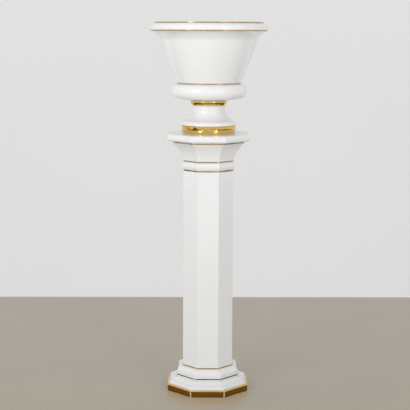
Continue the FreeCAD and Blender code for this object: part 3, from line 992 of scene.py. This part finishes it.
def foot_outline(sizes):
    """The urn's hollow foot: gilt face, shoulder, cove, neck and collar."""
    radius, bottom = half("foot_gilt_band"), low("urn_foot")
    band_top, collar_bottom = high("foot_gilt_band"), low("collar_gilt_band")
    top = high("collar_gilt_band")
    wall, neck = sizes.wall, sizes.neck_radius
    collar = neck + sizes.collar_flare
    tall = band_top - bottom
    face_round = (tall ** 2 + sizes.foot_tuck ** 2) / (2 * sizes.foot_tuck)
    face_centre = (radius - face_round, band_top)
    shoulder = Vector((radius - sizes.shoulder_radius, band_top))
    run = neck + sizes.cove_radius - shoulder.x
    rise = math.sqrt((sizes.shoulder_radius + sizes.cove_radius) ** 2 - run ** 2)
    cove = shoulder + Vector((run, rise))
    way = Vector((run, rise)).normalized()

    def meeting(inset):
        return shoulder + (sizes.shoulder_radius - inset) * way

    def foot_edge(inset):
        return face_centre[0] + math.sqrt((face_round - inset) ** 2 - tall ** 2)

    outline = Outline(neck - wall, top)
    outline.line(neck - wall, cove.y, bare=1.0)
    outline.turn(*meeting(wall), cove, bare=1.0)
    outline.turn(radius - wall, band_top, shoulder, bare=1.0)
    outline.turn(foot_edge(wall), bottom, face_centre, soft=0.001, bare=1.0)
    outline.line(foot_edge(0.0), bottom, soft=0.001, bare=1.0)
    outline.turn(radius, band_top, face_centre)
    outline.turn(*meeting(0.0), shoulder)
    outline.turn(neck, cove.y, cove)
    outline.line(neck, collar_bottom, soft=0.0007)
    outline.bow(collar, top, sizes.collar_bulge, soft=0.0005)
    outline.line(neck - wall, top, bare=1.0)
    return outline.stations()


def bowl_outline(sizes):
    """The bell-shaped bowl, inside and out: bulge, waist, leaning wall, flare and rolled rim."""
    bottom, collar = low("urn_bowl"), sizes.neck_radius + sizes.collar_flare
    waist, rim, lip = half("waist_gilt_line"), half("rim_gilt_line"), half("lip_gilt_line")
    waist_low, waist_high = low("waist_gilt_line"), high("waist_gilt_line")
    rim_low, rim_high = low("rim_gilt_line"), high("rim_gilt_line")
    lip_low, top = low("lip_gilt_line"), high("lip_gilt_line") - UNDER_LIP_GOLD
    wall = sizes.wall
    face_top = waist_low - sizes.bulge_over
    face_bottom = face_top - sizes.bulge_face
    under = Vector((sizes.bulge_radius - sizes.bulge_under, face_bottom))
    over = (waist, face_top)
    wall_top, wall_head = waist_high + sizes.wall_height, waist + sizes.wall_lean
    mouth = lip - sizes.lip_width

    def touch(start, radius):
        """Where a line from start touches the underside of the bulge's lower round."""
        way = under - Vector(start)
        reach = math.sqrt(way.length_squared - radius ** 2)
        angle = math.atan2(way.y, way.x) - math.atan2(radius, reach)
        return Vector(start) + reach * Vector((math.cos(angle), math.sin(angle)))

    outline = Outline(0.0, bottom)
    outline.line(collar, bottom, soft=0.0006, bare=1.0)
    outline.line(*touch((collar, bottom), sizes.bulge_under))
    outline.turn(sizes.bulge_radius, face_bottom, under)
    outline.line(sizes.bulge_radius, face_top)
    outline.turn(waist, waist_low, over, soft=0.0009)
    outline.line(waist, waist_high, soft=0.0006)
    outline.bow(wall_head, wall_top, sizes.wall_bow, soft=0.003)
    outline.bow(rim, rim_low, -sizes.flare_hollow, soft=0.0006)
    outline.line(rim, rim_high, soft=0.0004)
    outline.bow(lip, lip_low, sizes.roll_bulge, soft=0.0004)
    outline.line(lip, top, soft=0.0007)
    outline.line(mouth + sizes.lip_round, top)
    outline.turn(mouth, top - sizes.lip_round, (mouth + sizes.lip_round, top - sizes.lip_round))
    outline.line(mouth, rim_high, soft=0.003)
    outline.bow(wall_head - wall, wall_top, sizes.flare_hollow, soft=0.004)
    outline.bow(waist - wall, waist_high, -sizes.wall_bow, soft=0.003)
    outline.line(waist - wall, waist_low - wall, soft=0.003)
    outline.line(waist, waist_low - wall)
    outline.turn(sizes.bulge_radius - wall, face_top, over)
    outline.line(sizes.bulge_radius - wall, face_bottom)
    inner_start = (collar, bottom + wall)
    outline.turn(*touch(inner_start, sizes.bulge_under - wall), under)
    outline.line(*inner_start, soft=0.004)
    outline.line(0.0, bottom + wall)
    return outline.stations()


# ---------------------------------------------------------------------------------------------
# Operators


class JardinierePiece:
    """What the operators that make pieces share."""

    bl_options = {"REGISTER", "UNDO"}

    def settings(self, context):
        scene = context.scene
        return (scene.jardiniere_pedestal, scene.jardiniere_urn, scene.jardiniere_glaze,
                scene.jardiniere_gilding)

    def make(self, context, name, body, node, stations, material):
        """Runs stations through the body's tree, puts the piece under its body and hides the
        frame's node that it stands for.
        """
        pedestal, urn, glaze, gilding = self.settings(context)
        common = {"Unevenness": glaze.unevenness, "Ripple": glaze.ripple, "Seed": SEED,
                  "Edge waver": gilding.edge_waver, "Material": material}
        if body == "urn":
            tree = shared("Turned moulding", turned_moulding)
            piece = moulded(name, tree, stations, Around=urn.around, **common)
        else:
            tree = shared("Mitred moulding", mitred_moulding)
            common["Corner steps"] = pedestal.corner_steps
            common["Flat steps"] = pedestal.flat_steps
            piece = moulded(name, tree, stations, **common)
        if not piece.data.polygons:
            raise RuntimeError(f"{name}: the outline made no faces")
        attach(piece, body)
        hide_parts(node)

    def cast(self, context, name, body, node, outline):
        """A glazed casting that stands for a node, drawn from its body's sizes."""
        pedestal, urn, glaze, _ = self.settings(context)
        stations = outline(urn if body == "urn" else pedestal)
        self.make(context, name, body, node, stations, glaze_material(glaze))
        return {"FINISHED"}

    def gild(self, context, name, body, node, stations, start, end, fade):
        """A film of gold over a casting's outline, from one place on it to another."""
        gilding = self.settings(context)[3]
        made = film(stretch(stations, start, end), gilding.lift, gilding.sink, fade)
        self.make(context, name, body, node, made, gold_material(gilding))

    def gild_lines(self, context, body, lines):
        """A gilt line on each of some castings' outlines, as high as its node."""
        fade = self.settings(context)[3].line_fade
        for name, node, outline in lines:
            self.gild(context, name, body, node, outline,
                      (half(node), low(node)), (half(node), high(node)), fade)


class JARDINIERE_OT_plinth(JardinierePiece, Operator):
    """Makes the pedestal's spreading octagonal foot"""

    bl_idname = "jardiniere.plinth"
    bl_label = "Plinth"

    def execute(self, context):
        return self.cast(context, "plinth_casting", "pedestal", "pedestal_plinth", plinth_outline)


class JARDINIERE_OT_shaft(JardinierePiece, Operator):
    """Makes the pedestal's tall tapered shaft"""

    bl_idname = "jardiniere.shaft"
    bl_label = "Shaft"

    def execute(self, context):
        return self.cast(context, "shaft_casting", "pedestal", "pedestal_shaft", shaft_outline)


class JARDINIERE_OT_capital(JardinierePiece, Operator):
    """Makes the pedestal's head, with the slab that the urn stands on"""

    bl_idname = "jardiniere.capital"
    bl_label = "Capital"

    def execute(self, context):
        return self.cast(context, "capital_casting", "pedestal", "pedestal_capital",
                         capital_outline)


class JARDINIERE_OT_pedestal_gilding(JardinierePiece, Operator):
    """Lays the gold band and the five gold lines on the pedestal"""

    bl_idname = "jardiniere.pedestal_gilding"
    bl_label = "Pedestal gilding"

    def execute(self, context):
        sizes, _, _, gilding = self.settings(context)
        plinth, shaft = plinth_outline(sizes), shaft_outline(sizes)
        capital = capital_outline(sizes)
        base, ledge_top = half("plinth_gilt_band"), high("plinth_gilt_band")
        self.gild(context, "plinth_band_gilding", "pedestal", "plinth_gilt_band", plinth,
                  (base, low("plinth_gilt_band")), (base - sizes.ledge, ledge_top),
                  gilding.band_fade)
        self.gild_lines(context, "pedestal", (
            ("plinth_line_gilding", "plinth_gilt_line", plinth),
            ("shaft_line_gilding", "shaft_gilt_line", shaft),
            ("astragal_lower_gilding", "astragal_lower_gilt_line", capital),
            ("astragal_upper_gilding", "astragal_upper_gilt_line", capital),
            ("capital_line_gilding", "capital_gilt_line", capital),
        ))
        return {"FINISHED"}


class JARDINIERE_OT_urn_foot(JardinierePiece, Operator):
    """Makes the urn's hollow foot"""

    bl_idname = "jardiniere.urn_foot"
    bl_label = "Urn foot"

    def execute(self, context):
        return self.cast(context, "urn_foot_casting", "urn", "urn_foot", foot_outline)


class JARDINIERE_OT_urn_bowl(JardinierePiece, Operator):
    """Makes the urn's bell-shaped bowl"""

    bl_idname = "jardiniere.urn_bowl"
    bl_label = "Urn bowl"

    def execute(self, context):
        return self.cast(context, "urn_bowl_casting", "urn", "urn_bowl", bowl_outline)


class JARDINIERE_OT_urn_gilding(JardinierePiece, Operator):
    """Lays the two gold bands and the three gold lines on the urn"""

    bl_idname = "jardiniere.urn_gilding"
    bl_label = "Urn gilding"

    def execute(self, context):
        _, sizes, _, gilding = self.settings(context)
        foot, bowl = foot_outline(sizes), bowl_outline(sizes)
        foot_band = half("foot_gilt_band")
        self.gild(context, "foot_band_gilding", "urn", "foot_gilt_band", foot,
                  (foot_band - sizes.foot_tuck, low("foot_gilt_band")),
                  (foot_band, high("foot_gilt_band")), gilding.band_fade)
        collar, gold_top = sizes.neck_radius + sizes.collar_flare, high("collar_gilt_band")
        self.gild(context, "collar_gilding", "urn", "collar_gilt_band", foot,
                  (sizes.neck_radius, low("collar_gilt_band")),
                  (collar, gold_top - UNDER_COLLAR_TOP), gilding.band_fade)
        self.gild_lines(context, "urn", (
            ("waist_line_gilding", "waist_gilt_line", bowl),
            ("rim_line_gilding", "rim_gilt_line", bowl),
            ("lip_line_gilding", "lip_gilt_line", bowl),
        ))
        return {"FINISHED"}


class JARDINIERE_OT_studio(Operator):
    """Sets up the plain pale floor and wall, the soft lamps and the camera"""

    bl_idname = "jardiniere.studio"
    bl_label = "Studio"
    bl_options = {"REGISTER", "UNDO"}

    def plane(self, name, corners, material):
        mesh = bpy.data.meshes.new(name)
        mesh.from_pydata(corners, [], [range(len(corners))])
        mesh.materials.append(material)
        made = bpy.data.objects.new(name, mesh)
        bpy.context.scene.collection.objects.link(made)

    def softbox(self, name, place, watts):
        data = bpy.data.lights.new(name, "AREA")
        data.shape = "RECTANGLE"
        data.size, data.size_y = LAMP_SIZE
        data.energy = watts
        data.color = LAMP_TINT
        made = bpy.data.objects.new(name, data)
        made.location = place
        made.rotation_euler = (LAMP_AIM - place).to_track_quat("-Z", "Y").to_euler()
        bpy.context.scene.collection.objects.link(made)

    def world(self, look):
        """A pale backdrop to what sees it, and a room with a bright upper half for its light."""
        world = bpy.data.worlds.new("Studio room")
        world.use_nodes = True
        graph = Graph(world.node_tree)
        rays = graph.add("ShaderNodeLightPath").outputs
        way = graph.add("ShaderNodeSeparateXYZ", graph.add("ShaderNodeTexCoord")).outputs
        leaning = graph.math("MULTIPLY_ADD", way["X"], -look.lean, 1.0)

        # The upper half, brighter in front
        ahead = graph.math("MULTIPLY", graph.ramp(way["Y"], -0.1, -0.75),
                           graph.ramp(way["Z"], 0.75, 0.4))
        brighter = graph.math("MULTIPLY_ADD", ahead, look.front_light, 1.0)
        above = graph.math("MULTIPLY", graph.math("MULTIPLY", leaning, brighter),
                           graph.ramp(way["Z"], 0.06, 0.15))

        # Level light from low down, for matt surfaces alone
        level = graph.math("MULTIPLY", graph.math("MULTIPLY", rays["Is Diffuse Ray"], look.fill),
                           graph.math("MULTIPLY", leaning, graph.ramp(way["Z"], 0.30, 0.05)))
        around = graph.mix(graph.math("MAXIMUM", above, level), opaque(look.room),
                           opaque(look.ceiling))
        around.clamp_factor = False
        graph.set(world.node_tree.nodes["Background"].inputs["Color"], graph.mix(
            backdrop_rays(graph, rays), around, opaque(look.backdrop)))
        graph.arrange()
        return world

    def camera(self, look):
        data = bpy.data.cameras.new("camera")
        data.sensor_width = SENSOR
        data.lens = look.lens
        camera = bpy.data.objects.new("camera", data)
        camera.location = (0.0, -look.camera_distance, look.camera_height)
        aim = Euler((math.pi / 2 - look.camera_pitch, 0.0, look.camera_turn)).to_matrix()
        camera.rotation_euler = (aim @ Matrix.Rotation(look.camera_roll, 3, "Z")).to_euler()
        bpy.context.scene.collection.objects.link(camera)
        return camera

    def execute(self, context):
        look = context.scene.jardiniere_studio
        wide, front, top = FLOOR_HALF, FLOOR_FRONT, WALL_TOP
        slant = wide * math.tan(look.wall_turn)
        back, far_back = look.wall_distance - slant, look.wall_distance + slant
        self.plane("studio_floor", [(-wide, -front, 0), (wide, -front, 0), (wide, wide, 0),
                                    (-wide, wide, 0)], floor_material(look))
        self.plane("studio_wall", [(-wide, back, 0), (wide, far_back, 0), (wide, far_back, top),
                                   (-wide, back, top)], wall_material(look))
        self.softbox("left_softbox", LEFT_LAMP_PLACE, look.left_lamp)
        self.softbox("right_softbox", RIGHT_LAMP_PLACE, look.right_lamp)
        context.scene.world = self.world(look)
        context.scene.camera = self.camera(look)
        context.scene.view_settings.view_transform = "Standard"
        return {"FINISHED"}


class JARDINIERE_PT_pieces(Panel):
    """Lists the pieces in the order in which they are made"""

    bl_idname = "JARDINIERE_PT_pieces"
    bl_label = "Jardiniere"
    bl_space_type = "VIEW_3D"
    bl_region_type = "UI"
    bl_category = "Jardiniere"

    def draw(self, context):
        for operator in OPERATORS:
            self.layout.operator(operator.bl_idname)
        for name, _ in SETTINGS:
            box = self.layout.box()
            group = getattr(context.scene, name)
            for key in group.__annotations__:
                box.prop(group, key)


OPERATORS = (
    JARDINIERE_OT_studio,
    JARDINIERE_OT_plinth,
    JARDINIERE_OT_shaft,
    JARDINIERE_OT_capital,
    JARDINIERE_OT_pedestal_gilding,
    JARDINIERE_OT_urn_foot,
    JARDINIERE_OT_urn_bowl,
    JARDINIERE_OT_urn_gilding,
)
SETTINGS = (
    ("jardiniere_pedestal", JardinierePedestalSizes),
    ("jardiniere_urn", JardiniereUrnSizes),
    ("jardiniere_glaze", JardiniereGlaze),
    ("jardiniere_gilding", JardiniereGilding),
    ("jardiniere_studio", JardiniereStudio),
)


def register():
    for name, group in SETTINGS:
        bpy.utils.register_class(group)
        setattr(bpy.types.Scene, name, PointerProperty(type=group))
    for made in (*OPERATORS, JARDINIERE_PT_pieces):
        bpy.utils.register_class(made)


def unregister():
    for made in (JARDINIERE_PT_pieces, *reversed(OPERATORS)):
        bpy.utils.unregister_class(made)
    for name, group in reversed(SETTINGS):
        delattr(bpy.types.Scene, name)
        bpy.utils.unregister_class(group)


def main():
    register()
    for operator in OPERATORS:
        family, _, name = operator.bl_idname.partition(".")
        getattr(getattr(bpy.ops, family), name)()


if __name__ == "__main__":
    main()
